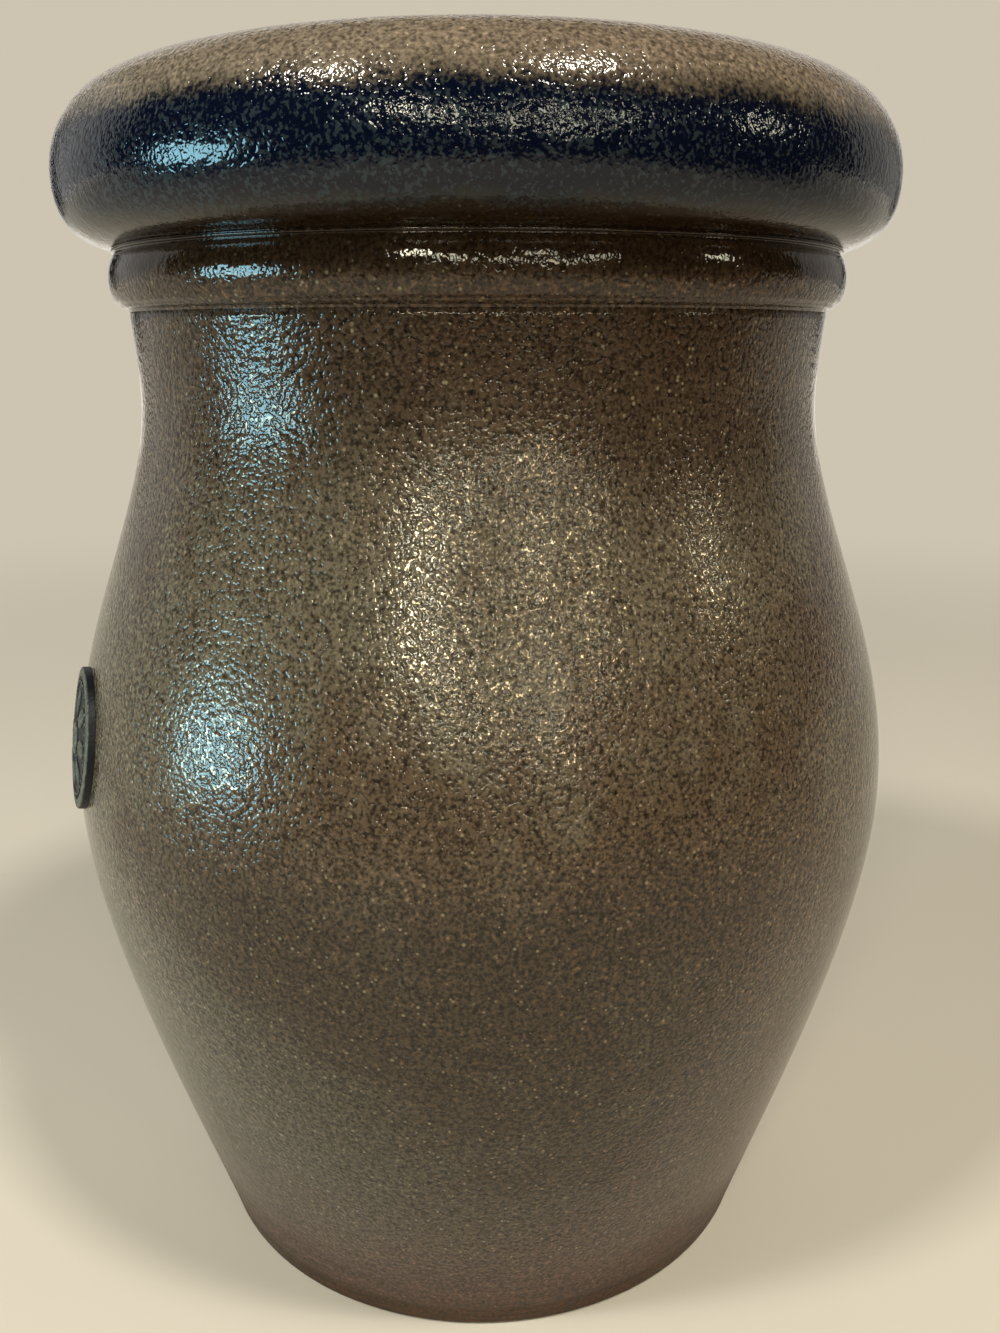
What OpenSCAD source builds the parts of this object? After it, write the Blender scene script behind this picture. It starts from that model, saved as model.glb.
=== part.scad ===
// A thrown stoneware fermenting crock: a body with a rolled rim and an inner gallery, a pressed clay
// medallion on its front, an inset lid with a knob, and two half-moon weights that hold the food down.
// Millimetres. +Z is up, the crock stands on z = 0, its axis is the Z axis and its front faces -Y.

/* [Body] */
// Height from the foot to the top of the rim
crock_h = 254; // [212:1:305]
// Radius of the foot where the wall starts
foot_r = 67; // [56:0.5:81]
// Lean of the lower wall, outward from upright
foot_lean = 16.7; // [10:0.1:20]
// Radius of the belly at its widest
belly_r = 93.5; // [78:0.5:113]
// Height of the belly's widest point
belly_z = 110; // [92:1:132]
// Radius of the waist, the narrowest part of the neck
waist_r = 73.7; // [61:0.1:88]
// Depth of the waist below the top of the rim
waist_drop = 58.4; // [49:0.1:70]
// Thickness of the wall from the foot to the waist
wall = 7.8; // [6.5:0.1:9.4]
// Thickness of the floor
floor_t = 9; // [7.5:0.1:11]
// Radius of the rounded corner between the floor and the wall inside
floor_corner = 7; // [5:0.5:9]

/* [Foot] */
// Height and depth of the bevel round the bottom edge
foot_bevel = 1; // [0.6:0.1:1.6]
// Width of the ring that the crock stands on
foot_ring_w = 9; // [7:0.5:12]
// Depth of the trimmed hollow inside the foot ring
foot_hollow = 1.5; // [1:0.1:2]
// Height of the line turned round the foot
foot_line_z = 4.4; // [3.5:0.1:6]

/* [Collar] */
// How far the neck has widened again where the collar starts
neck_flare = 1; // [0.5:0.1:2]
// How far the collar stands proud of the neck
collar_proud = 3.6; // [2.5:0.1:4.3]
// Height of the collar's rounded face
collar_h = 10; // [8.5:0.5:12]
// Bulge of the collar's face between its two edges
collar_bulge = 1.4; // [1.1:0.1:1.8]
// Height of the slope under the collar
collar_slope_h = 1.4; // [1:0.1:2]
// Height and width of the thin ridge between the collar and the rim
ridge_h = 0.5; // [0.4:0.1:0.7]
// Radius of the turning tool's tip, which leaves the thin lines
line_r = 0.6; // [0.5:0.1:0.8]
// Depth of the thin lines
line_depth = 0.35; // [0.2:0.05:0.45]

/* [Rim] */
// How far the rolled rim stands proud of the neck
rim_proud = 12.7; // [10.4:0.1:15]
// Height of the roll above its widest point
rim_up = 17.5; // [16:0.1:20]
// Height of the roll below its widest point, down to the ridge
rim_down = 13.1; // [11:0.1:15]
// Slope of the roll's underside where it leaves the ridge
rim_under_slope = 14; // [8:1:22]
// How far out the underside holds that slope
rim_under_run = 5.5; // [4:0.1:7]
// How far the roll hangs below its widest point before it turns in
rim_hang = 9.7; // [8:0.1:11]

/* [Gallery] */
// How far the gallery's wall lies inside the neck's outer face
gallery_inset = 8.2; // [7.5:0.1:10.2]
// Depth of the ledge that carries the lid, below the top of the rim
gallery_depth = 11; // [9.5:0.1:13]
// Width of the ledge
ledge_w = 6.5; // [5.4:0.1:7.8]
// Height of the straight throat under the ledge
throat_h = 6.5; // [5.4:0.1:7.8]
// Radius of the rounded inner edge of the mouth
mouth_round = 4.5; // [3.8:0.1:5.4]

/* [Lid] */
// Gap between the lid's edges and the gallery and throat
lid_gap = 1.2; // [0.8:0.1:1.6]
// Thickness of the lid at its edge
lid_edge_t = 6; // [5:0.1:7.2]
// Rise of the lid's top from its edge to the knob
lid_dome = 3; // [2:0.1:3.6]
// Depth of the ring under the lid that drops into the throat
lid_ring_h = 6; // [5:0.1:7.2]
// Width of that ring
lid_ring_w = 5; // [4:0.1:6]
// Radius of the lid's rounded edges
lid_round = 1.8; // [1.2:0.1:2.2]
// Depth of the dished middle of the lid's underside and of the knob's top
lid_dish = 1.5; // [1:0.1:1.8]
// Radius of the flat seat for the knob
knob_seat_r = 12; // [10:0.1:14]
// Radius of the knob's foot
knob_foot_r = 10.5; // [9:0.1:12]
// Radius of the knob's waist
knob_waist_r = 8; // [6.7:0.1:9]
// Radius of the knob at its widest
knob_r = 15.5; // [13:0.1:18]
// Height of the knob
knob_h = 12.5; // [10.5:0.1:15]

/* [Weights] */
// Thickness of each half-moon weight
weight_t = 16; // [13:0.5:20]
// Gap left between the weights and the narrowest place that they pass
weight_gap = 1; // [0.8:0.1:2]
// Gap between the two straight edges
weight_split = 3; // [2:0.5:4]
// Radius of the finger hole that the two notches make
finger_r = 12; // [10:0.5:14]
// Chamfer round the weights' edges
weight_chamfer = 2; // [1:0.1:2.5]

/* [Medallion] */
// Height of the medallion's centre
medallion_z = 125; // [116:0.5:133]
// Radius of the medallion
medallion_r = 15.2; // [12.6:0.1:18.3]
// Thickness of the medallion at its edge
medallion_t = 1.5; // [1.2:0.1:1.8]
// Width of the raised border
border_w = 2.2; // [1.8:0.1:2.7]
// Depth of the field inside the border
field_depth = 0.5; // [0.3:0.1:0.6]
// Radius of the round boss in the middle
boss_r = 3.6; // [3:0.1:4.3]

/* [Hidden] */
$fn = 96;

// Loose pieces lie this far above what they rest on
rest_gap = 0.3;
// Points along each curve of a profile
steps = 12;

// Heights down the outside of the rim and the collar
rim_z = crock_h - rim_up;
ridge_z = rim_z - rim_down;
collar_top_z = ridge_z - ridge_h;
collar_z = collar_top_z - collar_h / 2;
slope_z = collar_z - collar_h / 2;
neck_z = slope_z - collar_slope_h;
waist_z = crock_h - waist_drop;

// Radii up the outside of the neck, the collar and the rim
neck_r = waist_r + neck_flare;
collar_r = neck_r + collar_proud;
collar_edge_r = collar_r - collar_bulge;
rim_r = neck_r + rim_proud;
collar_arc_r = pow(collar_h / 2, 2) / (2 * collar_bulge) + collar_bulge / 2;
collar_arc_a = asin(collar_h / 2 / collar_arc_r);

// The gallery, where the lid sits, and the throat under it
gallery_r = neck_r - gallery_inset;
throat_r = gallery_r - ledge_w;
seat_z = crock_h - gallery_depth;
throat_z = seat_z - throat_h;
mouth_r = gallery_r + mouth_round;

// The lid
lid_z = seat_z + rest_gap;
lid_r = gallery_r - lid_gap;
lid_ring_r = throat_r - lid_gap;
knob_z = lid_z + lid_edge_t + lid_dome;

function cubic(a, b, c, d, t) =
    pow(1 - t, 3) * a + 3 * t * pow(1 - t, 2) * b + 3 * t * t * (1 - t) * c + pow(t, 3) * d;

// Direction of the same curve at t
function cubic_dir(a, b, c, d, t) =
    pow(1 - t, 2) * (b - a) + 2 * t * (1 - t) * (c - b) + t * t * (d - c);

function curve(p, n = steps) = [for (i = [0:n]) cubic(p[0], p[1], p[2], p[3], i / n)];

// The curve moved by d to its left, which is inwards on a wall that runs upwards
function curve_inside(p, d, n = steps) = [
    for (i = [0:n])
        let (v = cubic_dir(p[0], p[1], p[2], p[3], i / n))
        cubic(p[0], p[1], p[2], p[3], i / n) + d * [-v[1], v[0]] / norm(v)
];

// Part of an ellipse with half-widths a and b round c, from angle a0 to angle a1
function oval(c, a, b, a0, a1, n = steps) = [
    for (i = [0:n])
        let (t = a0 + (a1 - a0) * i / n)
        [c[0] + a * cos(t), c[1] + b * sin(t)]
];

function reverse(list) = [for (i = [len(list) - 1:-1:0]) list[i]];
function tail(list) = [for (i = [1:len(list) - 1]) list[i]];

// Radius of a profile at height z
function radius_at(profile, z) = lookup(z, [for (p = profile) [p[1], p[0]]]);

// The wall's three curves: foot to belly, belly to waist, and waist to collar
foot_p = [foot_r, foot_bevel];
belly_p = [belly_r, belly_z];
waist_p = [waist_r, waist_z];
neck_p = [neck_r, neck_z];
foot_pull = 0.35 * (belly_z - foot_bevel);
belly_pull = 0.27 * (belly_z - foot_bevel);
shoulder_pull = 0.4 * (waist_z - belly_z);
waist_pull = 0.28 * (waist_z - belly_z);
neck_pull = 0.35 * (neck_z - waist_z);

lower_wall = [
    foot_p,
    foot_p + foot_pull * [sin(foot_lean), cos(foot_lean)],
    belly_p - [0, belly_pull],
    belly_p
];
upper_wall = [belly_p, belly_p + [0, shoulder_pull], waist_p - [0, waist_pull], waist_p];
neck_wall = [waist_p, waist_p + [0, neck_pull], neck_p - [neck_flare / 2, neck_pull], neck_p];

// The outside of the wall from the foot to the waist, moved outwards by d
function wall_line(d) = concat(curve_inside(lower_wall, -d), tail(curve_inside(upper_wall, -d)));

outer_wall = concat(wall_line(0), tail(curve(neck_wall, 5)));
inner_wall = wall_line(-wall);

// The floor inside ends at floor_r, where the rounded corner starts
corner_r = radius_at(inner_wall, floor_t);
floor_r = corner_r - floor_corner;
corner_z = floor_t + floor_corner;
corner_p = [radius_at(inner_wall, corner_z), corner_z];
floor_curve = curve([
    [floor_r, floor_t],
    [corner_r - floor_corner / 3, floor_t],
    [corner_r, floor_t] + (corner_p - [corner_r, floor_t]) / 3,
    corner_p
], 5);

collar_face = oval([collar_r - collar_arc_r, collar_z], collar_arc_r, collar_arc_r,
    -collar_arc_a, collar_arc_a, 8);
// The roll's underside runs out and slightly up from just over the ridge, then turns up to the
// widest point
under_p = [collar_edge_r, ridge_z + ridge_h / 4];
roll_under = curve([
    under_p,
    under_p + rim_under_run * [cos(rim_under_slope), sin(rim_under_slope)],
    [rim_r, rim_z - rim_hang],
    [rim_r, rim_z]
]);
roll_top = oval([mouth_r, rim_z], rim_r - mouth_r, rim_up, 0, 90);
mouth_edge = oval([mouth_r, crock_h - mouth_round], mouth_round, mouth_round, 90, 180, 6);

// Inside, from the gallery down over the rounded ledge and the throat to the waist
ledge_round = 1.5;
ledge = concat(
    [[gallery_r, seat_z]],
    oval([throat_r + ledge_round, seat_z - ledge_round], ledge_round, ledge_round, 90, 180, 4)
);
waist_in = [waist_r - wall, waist_z];
throat_pull = 0.4 * (throat_z - waist_z);
throat_wall = curve([
    [throat_r, throat_z],
    [throat_r, throat_z - throat_pull],
    waist_in + [0, throat_pull],
    waist_in
], 8);

// What passes the throat and lies flat on the floor
weight_r = min(throat_r, floor_r) - weight_gap;
weight_z = floor_t + rest_gap;

// How far the wall leans back where the medallion sits
medallion_lean = atan((radius_at(outer_wall, medallion_z - medallion_r / 2)
    - radius_at(outer_wall, medallion_z + medallion_r / 2)) / medallion_r);

stoneware = [0.42, 0.38, 0.32];
bare_clay = [0.62, 0.53, 0.42];

// The section of the body, right of its axis
module crock_section() {
    polygon(concat(
        [[0, foot_hollow],
         [foot_r - foot_ring_w - foot_hollow, foot_hollow],
         [foot_r - foot_ring_w, 0],
         [foot_r - foot_bevel, 0]],
        outer_wall,
        collar_face,
        [[collar_edge_r + ridge_h, ridge_z]],
        roll_under,
        tail(roll_top),
        tail(mouth_edge),
        ledge,
        throat_wall,
        [for (p = reverse(inner_wall)) if (p[1] > corner_z + 1 && p[1] < waist_z - 1) p],
        reverse(floor_curve),
        [[0, floor_t]]
    ));
}

// A thin turned line round the outside at height z, where the profile's radius is r
module turned_line(r, z) {
    translate([r + line_r - line_depth, z]) circle(r = line_r, $fn = 24);
}

module crock_body() {
    color(stoneware)
    rotate_extrude() difference() {
        crock_section();
        // one line round the foot, two along the collar's lower edge and one under its ridge
        turned_line(radius_at(outer_wall, foot_line_z), foot_line_z);
        turned_line(neck_r + 0.3 * (collar_edge_r - neck_r), neck_z + 0.3 * collar_slope_h);
        turned_line(collar_edge_r, slope_z);
        turned_line(collar_edge_r, collar_top_z - line_depth);
    }
}

// A skin lying on the outside of the wall, from the foot to the waist, t thick
module wall_skin(t) {
    rotate_extrude() polygon(concat(wall_line(0), reverse(wall_line(t))));
}

// Puts its children on the belly at the medallion's centre, with their +Z straight out of the wall
module on_belly() {
    translate([0, -radius_at(outer_wall, medallion_z), medallion_z])
    rotate([90 - medallion_lean, 0, 0])
    children();
}

module medallion() {
    color(stoneware)
    difference() {
        intersection() {
            wall_skin(medallion_t);
            on_belly() cylinder(r = medallion_r, h = medallion_r, center = true);
        }
        // the field between the border and the boss
        intersection() {
            difference() {
                wall_skin(2 * medallion_t);
                wall_skin(medallion_t - field_depth);
            }
            on_belly() difference() {
                cylinder(r = medallion_r - border_w, h = medallion_r, center = true);
                cylinder(r = boss_r, h = 2 * medallion_r, center = true);
            }
        }
    }
}

module lid() {
    ring_in = lid_ring_r - lid_ring_w;
    ring_z = lid_z - lid_ring_h;
    edge_z = lid_z + lid_edge_t;
    edge_in = lid_r - lid_round;
    ring_round = lid_round / 2;
    color(stoneware)
    rotate_extrude() polygon(concat(
        [[0, lid_z + lid_dish], [ring_in - lid_dish, lid_z + lid_dish]],
        oval([ring_in + ring_round, ring_z + ring_round], ring_round, ring_round, 180, 270, 4),
        oval([lid_ring_r - ring_round, ring_z + ring_round], ring_round, ring_round, -90, 0, 4),
        [[lid_ring_r, lid_z]],
        oval([edge_in, lid_z + lid_round], lid_round, lid_round, -90, 0, 5),
        oval([edge_in, edge_z - lid_round], lid_round, lid_round, 0, 90, 5),
        tail(curve([
            [edge_in, edge_z],
            [edge_in - 12, edge_z],
            [knob_seat_r + 20, knob_z],
            [knob_seat_r, knob_z]
        ], 8)),
        [[0, knob_z]]
    ));
}

module lid_knob() {
    waist_h = 0.35 * knob_h;
    edge_h = 0.75 * knob_h;
    lip = 0.2 * knob_r;
    color(stoneware)
    rotate_extrude() polygon(concat(
        [[0, knob_z]],
        curve([
            [knob_foot_r, knob_z],
            [knob_waist_r, knob_z + waist_h / 4],
            [knob_waist_r, knob_z + waist_h / 2],
            [knob_waist_r, knob_z + waist_h]
        ], 6),
        tail(curve([
            [knob_waist_r, knob_z + waist_h],
            [knob_waist_r, knob_z + 0.55 * knob_h],
            [knob_r, knob_z + 0.5 * knob_h],
            [knob_r, knob_z + edge_h]
        ], 8)),
        tail(oval([knob_r - lip, knob_z + edge_h], lip, knob_h - edge_h, 0, 90, 6)),
        [[0, knob_z + knob_h - lid_dish]]
    ));
}

// A ring weight with chamfered edges, cut down to the half on one side of the split
module half_weight(side) {
    top_z = weight_z + weight_t;
    c = weight_chamfer;
    color(bare_clay)
    difference() {
        rotate_extrude() polygon([
            [finger_r + c, weight_z],
            [weight_r - c, weight_z],
            [weight_r, weight_z + c],
            [weight_r, top_z - c],
            [weight_r - c, top_z],
            [finger_r + c, top_z],
            [finger_r, top_z - c],
            [finger_r, weight_z + c]
        ]);
        translate([0, side * (weight_split / 2 - weight_r), weight_z + weight_t / 2])
        cube([3 * weight_r, 2 * weight_r, 2 * weight_t], center = true);
    }
}

module weight_front() {
    half_weight(-1);
}

module weight_rear() {
    half_weight(1);
}

crock_body();
medallion();
lid();
lid_knob();
weight_front();
weight_rear();
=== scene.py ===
import math

import bmesh
import bpy
import numpy as np
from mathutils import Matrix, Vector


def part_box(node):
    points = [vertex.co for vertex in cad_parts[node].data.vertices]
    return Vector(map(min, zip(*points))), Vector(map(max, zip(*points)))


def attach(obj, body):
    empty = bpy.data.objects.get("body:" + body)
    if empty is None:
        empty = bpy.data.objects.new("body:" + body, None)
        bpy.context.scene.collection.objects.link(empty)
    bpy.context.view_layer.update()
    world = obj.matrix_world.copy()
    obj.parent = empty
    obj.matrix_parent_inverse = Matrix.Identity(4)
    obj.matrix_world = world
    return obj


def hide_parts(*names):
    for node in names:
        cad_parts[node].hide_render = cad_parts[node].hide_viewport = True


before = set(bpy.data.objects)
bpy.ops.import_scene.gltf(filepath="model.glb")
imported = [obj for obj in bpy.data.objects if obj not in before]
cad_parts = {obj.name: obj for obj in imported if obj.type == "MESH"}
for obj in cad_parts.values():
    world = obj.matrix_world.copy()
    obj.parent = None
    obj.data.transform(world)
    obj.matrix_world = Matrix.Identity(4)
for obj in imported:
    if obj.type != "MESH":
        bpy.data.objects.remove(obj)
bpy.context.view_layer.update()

scene = bpy.context.scene
mm = 0.001


# ---- The crock's body ----
# One piece of stoneware, thrown on the wheel: a flat trimmed foot, a full belly, a waisted neck, a collar
# with thin turned lines and a fine ridge, and a heavy rolled rim with a gallery inside it for the lid. It is
# dimpled and grey-brown from a salt kiln, with a brushed band of cobalt round the rim.
crock_low, crock_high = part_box("crock_body")
crock_h = crock_high.z - crock_low.z
belly_r = crock_high.x
belly_z = 110 * mm
foot_r = 67 * mm
foot_bevel = 1 * mm
foot_lean = math.radians(16.7)
foot_ring_w = 9 * mm
foot_hollow = 1.5 * mm
waist_r = 73.7 * mm
waist_z = crock_h - 58.4 * mm
neck_r = waist_r + 1 * mm
wall = 7.8 * mm
floor_t = 9 * mm
floor_round = 7 * mm
rim_r = neck_r + 12.7 * mm
rim_top_h = 17.5 * mm
rim_z = crock_h - rim_top_h
under_slope = math.radians(14)
ridge_z = rim_z - 13.1 * mm
ridge_h = 0.5 * mm
collar_bulge = 1.4 * mm
collar_half_h = 5 * mm
collar_r = neck_r + 3.6 * mm
collar_edge_r = collar_r - collar_bulge
collar_top = ridge_z - ridge_h
collar_z = collar_top - collar_half_h
neck_z = collar_z - 6.4 * mm
gallery_r = neck_r - 8.2 * mm
throat_r = gallery_r - 6.5 * mm
seat_z = crock_h - 11 * mm
throat_z = seat_z - 6.5 * mm
mouth_round = 4.5 * mm
finger_pitch = 6.5 * mm
line_depth = 0.35 * mm


def bend(a, b, c, d, count):
    """Points along the smooth curve from a to d that leaves towards b and arrives from c."""
    a, b, c, d = (np.array(p, float) for p in (a, b, c, d))
    t = np.linspace(0, 1, count + 1)[:, None]
    return (1 - t) ** 3 * a + 3 * t * (1 - t) ** 2 * b + 3 * t * t * (1 - t) * c + t ** 3 * d


def oval(centre, across, up, start, end, count):
    """Points along part of an oval, between two angles in degrees."""
    t = np.radians(np.linspace(start, end, count + 1))
    return np.column_stack([centre[0] + across * np.cos(t), centre[1] + up * np.sin(t)])


def line(a, b, count):
    """Points along the straight line from a to b."""
    return np.linspace(a, b, count + 1)


def chain(*runs):
    """Joins runs of points end to end and drops the points that repeat."""
    points = np.vstack(runs)
    apart = np.linalg.norm(np.diff(points, axis=0), axis=1) > 1e-7
    return points[np.concatenate([[True], apart])]


def inwards(points, thickness):
    """The same wall, moved square to itself towards the axis."""
    along = np.gradient(points, axis=0)
    along /= np.linalg.norm(along, axis=1)[:, None]
    return points + thickness * np.column_stack([-along[:, 1], along[:, 0]])


def turned_line(points, height, width):
    """The same wall with the thin line that a pointed tool leaves in turning clay."""
    away = (points[:, 1] - height) / width
    cut = points.copy()
    cut[:, 0] -= line_depth * np.exp(-away ** 2)
    return cut


# The outside, in three smooth curves from the foot to the neck
foot = (foot_r, foot_bevel)
belly = (belly_r, belly_z)
waist = (waist_r, waist_z)
neck = (neck_r, neck_z)
rise = belly_z - foot_bevel
shoulder = waist_z - belly_z
upright = neck_z - waist_z
foot_pull = 0.35 * rise
neck_pull = 0.35 * upright
lower_wall = bend(
    foot, (foot_r + foot_pull * math.sin(foot_lean), foot_bevel + foot_pull * math.cos(foot_lean)),
    (belly_r, belly_z - 0.27 * rise), belly, 60)
upper_wall = bend(
    belly, (belly_r, belly_z + 0.4 * shoulder), (waist_r, waist_z - 0.28 * shoulder), waist, 46)
neck_wall = bend(
    waist, (waist_r, waist_z + neck_pull), (neck_r - 0.5 * mm, neck_z - neck_pull), neck, 12)
outer_wall = chain(lower_wall, upper_wall, neck_wall)
inner_wall = inwards(chain(lower_wall[::3], upper_wall[::3]), wall)


def wall_radius(height):
    """The outside's radius at a height."""
    return np.interp(height, outer_wall[:, 1], outer_wall[:, 0])


# The underside, hollowed inside a flat foot ring, and a turned line over the foot
foot_ring_r = foot_r - foot_ring_w
underside = chain(
    line((0, foot_hollow), (foot_ring_r - foot_hollow, foot_hollow), 8),
    oval((foot_ring_r, foot_hollow), -foot_hollow, -foot_hollow, 0, 90, 4),
    line((foot_ring_r, 0), (foot_r - 1.4 * foot_bevel, 0), 4),
    oval((foot_r - foot_bevel, foot_bevel), foot_bevel, foot_bevel, -90, -20, 4),
)
outside = turned_line(chain(underside, outer_wall), 4.4 * mm, 0.5 * mm)

# The collar's bulge between thin turned lines, and the fine ridge over it
collar_arc = (collar_half_h ** 2 + collar_bulge ** 2) / (2 * collar_bulge)
collar_turn = math.degrees(math.asin(collar_half_h / collar_arc))
collar = chain(
    line(neck, (collar_edge_r, collar_z - collar_half_h), 12),
    oval((collar_r - collar_arc, collar_z), collar_arc, collar_arc, -collar_turn, collar_turn, 44),
)
collar = turned_line(collar, neck_z + 0.45 * mm, 0.25 * mm)
collar = turned_line(collar, collar_z - collar_half_h, 0.3 * mm)
collar = turned_line(collar, collar_top - line_depth, 0.35 * mm)
ridge = oval((collar_edge_r + 0.2 * mm, ridge_z - 0.2 * mm), 0.3 * mm, 0.3 * mm, -60, 75, 6)

# The rolled rim, from its flat underside over the top to the mouth, and the lid's seat inside it
under = np.array([collar_edge_r, ridge_z + ridge_h / 4])
out_and_up = np.array([math.cos(under_slope), math.sin(under_slope)])
mouth_r = gallery_r + mouth_round
roll = chain(
    bend(under, under + 5.5 * mm * out_and_up, (rim_r, rim_z - 9.7 * mm), (rim_r, rim_z), 36),
    oval((mouth_r, rim_z), rim_r - mouth_r, rim_top_h, 0, 90, 34),
    oval((mouth_r, crock_h - mouth_round), mouth_round, mouth_round, 90, 180, 10),
)
seat_round = 1 * mm
ledge_round = 1.5 * mm
gallery = chain(
    oval((gallery_r - seat_round, seat_z + seat_round), seat_round, seat_round, 0, -90, 4),
    oval((throat_r + ledge_round, seat_z - ledge_round), ledge_round, ledge_round, 90, 180, 6),
)

# The open inside, from the throat down to the rounded corner and the floor
inner_waist_r = waist_r - wall
throat_pull = 0.4 * (throat_z - waist_z)
inside_neck = bend(
    (throat_r, throat_z), (throat_r, throat_z - throat_pull),
    (inner_waist_r, waist_z + throat_pull), (inner_waist_r, waist_z), 14)
corner_r, corner_top_r = np.interp((floor_t, floor_t + floor_round), inner_wall[:, 1], inner_wall[:, 0])
corner = np.array([corner_r, floor_t])
corner_top = np.array([corner_top_r, floor_t + floor_round])
corner_end = np.array([corner_r - floor_round, floor_t])
kept = (inner_wall[:, 1] > corner_top[1] + 1 * mm) & (inner_wall[:, 1] < waist_z - 1 * mm)
inside_corner = bend(
    corner_top, corner + (corner_top - corner) / 3, corner + (corner_end - corner) / 3, corner_end, 6)
inside = chain(inside_neck, inner_wall[kept][::-1], inside_corner, line(corner_end, (0, floor_t), 10))
# The fingers leave shallow rings up the inside, which fade at both ends
up_inside = inside[:, 1]
fade_h = 8 * mm
reach = np.clip((up_inside - corner_top[1]) / fade_h, 0, 1) * np.clip((waist_z - up_inside) / fade_h, 0, 1)
inside[:, 0] -= 0.3 * mm * reach * np.sin(2 * np.pi * up_inside / finger_pitch) ** 2

crock_profile = chain(outside, collar, ridge, roll, gallery, inside)
liner_from = len(crock_profile) - len(inside) - len(gallery)


class Reading:
    """A number that varies over a surface or a shape, so that a recipe is written as a sum."""

    def __init__(self, wiring, socket):
        self.wiring = wiring
        self.socket = socket

    def __add__(self, other):
        return self.wiring.sum("ADD", self, other)

    def __radd__(self, other):
        return self.wiring.sum("ADD", other, self)

    def __sub__(self, other):
        return self.wiring.sum("SUBTRACT", self, other)

    def __rsub__(self, other):
        return self.wiring.sum("SUBTRACT", other, self)

    def __mul__(self, other):
        return self.wiring.sum("MULTIPLY", self, other)

    def __rmul__(self, other):
        return self.wiring.sum("MULTIPLY", other, self)

    def __truediv__(self, other):
        return self.wiring.sum("DIVIDE", self, other)


class Wiring:
    """Adds nodes to one tree, of a finish or of a shape."""

    def __init__(self, tree):
        self.tree = tree

    def node(self, kind, settings=None, inputs=None):
        """Adds a node: its settings first, then the values or links of its sockets."""
        made = self.tree.nodes.new(kind)
        for name, value in (settings or {}).items():
            setattr(made, name, value)
        for key, value in (inputs or {}).items():
            if isinstance(value, Reading):
                self.tree.links.new(value.socket, made.inputs[key])
            else:
                made.inputs[key].default_value = value
        return made

    def reading(self, kind, output=0, settings=None, inputs=None):
        """Adds a node and gives one of its outputs."""
        return Reading(self, self.node(kind, settings, inputs).outputs[output])

    def sum(self, operation, a, b=0.0):
        """One operation of arithmetic, by its name."""
        return self.reading("ShaderNodeMath", 0, {"operation": operation}, {0: a, 1: b})

    def most(self, a, b):
        """The larger of two numbers."""
        return self.sum("MAXIMUM", a, b)

    def ease(self, value, low, high):
        """0 below low and 1 above high, with a soft step between."""
        return self.reading(
            "ShaderNodeMapRange", 0, {"interpolation_type": "SMOOTHSTEP"},
            {"Value": value, "From Min": low, "From Max": high})

    def place(self):
        """Where a point of the piece is, in metres from the crock's middle on the table."""
        return self.reading("ShaderNodeTexCoord", 3)

    def axes(self, place):
        """The three numbers that a place or a colour holds."""
        parts = self.node("ShaderNodeSeparateXYZ", None, {0: place})
        return [Reading(self, socket) for socket in parts.outputs]

    def cloud(self, place, size, detail=2.0, rough=0.5):
        """Soft noise whose patches are about size across."""
        return self.reading(
            "ShaderNodeTexNoise", 0, None,
            {"Vector": place, "Scale": 1 / size, "Detail": detail, "Roughness": rough})

    def cells(self, place, size):
        """Cells about size across: how far the nearest middle is, and three random numbers of its cell."""
        made = self.node("ShaderNodeTexVoronoi", None, {"Vector": place, "Scale": 1 / size})
        return Reading(self, made.outputs["Distance"]), self.axes(Reading(self, made.outputs["Color"]))

    def blend(self, below, above, share):
        """Colour above laid over colour below by its share."""
        inputs = {0: share, 6: below, 7: above}
        for key in (6, 7):
            if isinstance(inputs[key], tuple):
                inputs[key] = (*inputs[key], 1)
        return self.reading("ShaderNodeMix", 2, {"data_type": "RGBA", "clamp_factor": True}, inputs)

    def shade(self, colour, amount):
        """The colour made darker or lighter by a varying amount, 1 for no change."""
        grey = self.reading("ShaderNodeCombineXYZ", 0, None, {0: amount, 1: amount, 2: amount})
        return self.reading("ShaderNodeVectorMath", 0, {"operation": "MULTIPLY"}, {0: colour, 1: grey})


def colour(*screen):
    """A colour as it looks on a screen, red, green and blue from 0 to 255, turned into light."""
    levels = [level / 255 for level in screen]
    return tuple(c / 12.92 if c <= 0.04045 else ((c + 0.055) / 1.055) ** 2.4 for c in levels)


def new_finish(name):
    """A material with its wiring, and the shader that its recipe ends in."""
    made = bpy.data.materials.new(name)
    made.use_nodes = True
    wiring = Wiring(made.node_tree)
    return made, wiring, made.node_tree.nodes["Principled BSDF"]


def finish_surface(wiring, shader, tone, rough, height, depth, glitter=None):
    """Sends a recipe's colour, roughness, glitter and relief to the shader, the relief's depth in metres."""
    links = wiring.tree.links
    links.new(tone.socket, shader.inputs["Base Color"])
    if isinstance(rough, Reading):
        links.new(rough.socket, shader.inputs["Roughness"])
    else:
        shader.inputs["Roughness"].default_value = rough
    if glitter:
        links.new(glitter.socket, shader.inputs["Metallic"])
    shader.inputs["IOR"].default_value = 1.4
    relief = wiring.reading("ShaderNodeBump", 0, None, {"Height": height, "Distance": depth})
    links.new(relief.socket, shader.inputs["Normal"])


def peel(wiring, place):
    """The dimpled skin of salt glaze: its relief, and where it pulled thin, about 0 to 1, which is also low
    in the relief's hollows as painted shade.
    """
    swells = wiring.cloud(place, 0.95 * mm, 1.0)
    beads = swells * 1.2 + wiring.ease(swells, 0.36, 0.6) * 0.4 + wiring.cloud(place, 2.4 * mm, 0.0) * 0.9
    grains = wiring.cloud(place, 0.65 * mm, 1.5, 0.6)
    # Painted shade: the thinness follows the swells, so the glaze is darker in their hollows
    thin_and_hollow_shade = (grains - 0.5) * 1.8 + (swells - 0.5) * 1.4 + 0.5
    return beads, thin_and_hollow_shade


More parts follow.
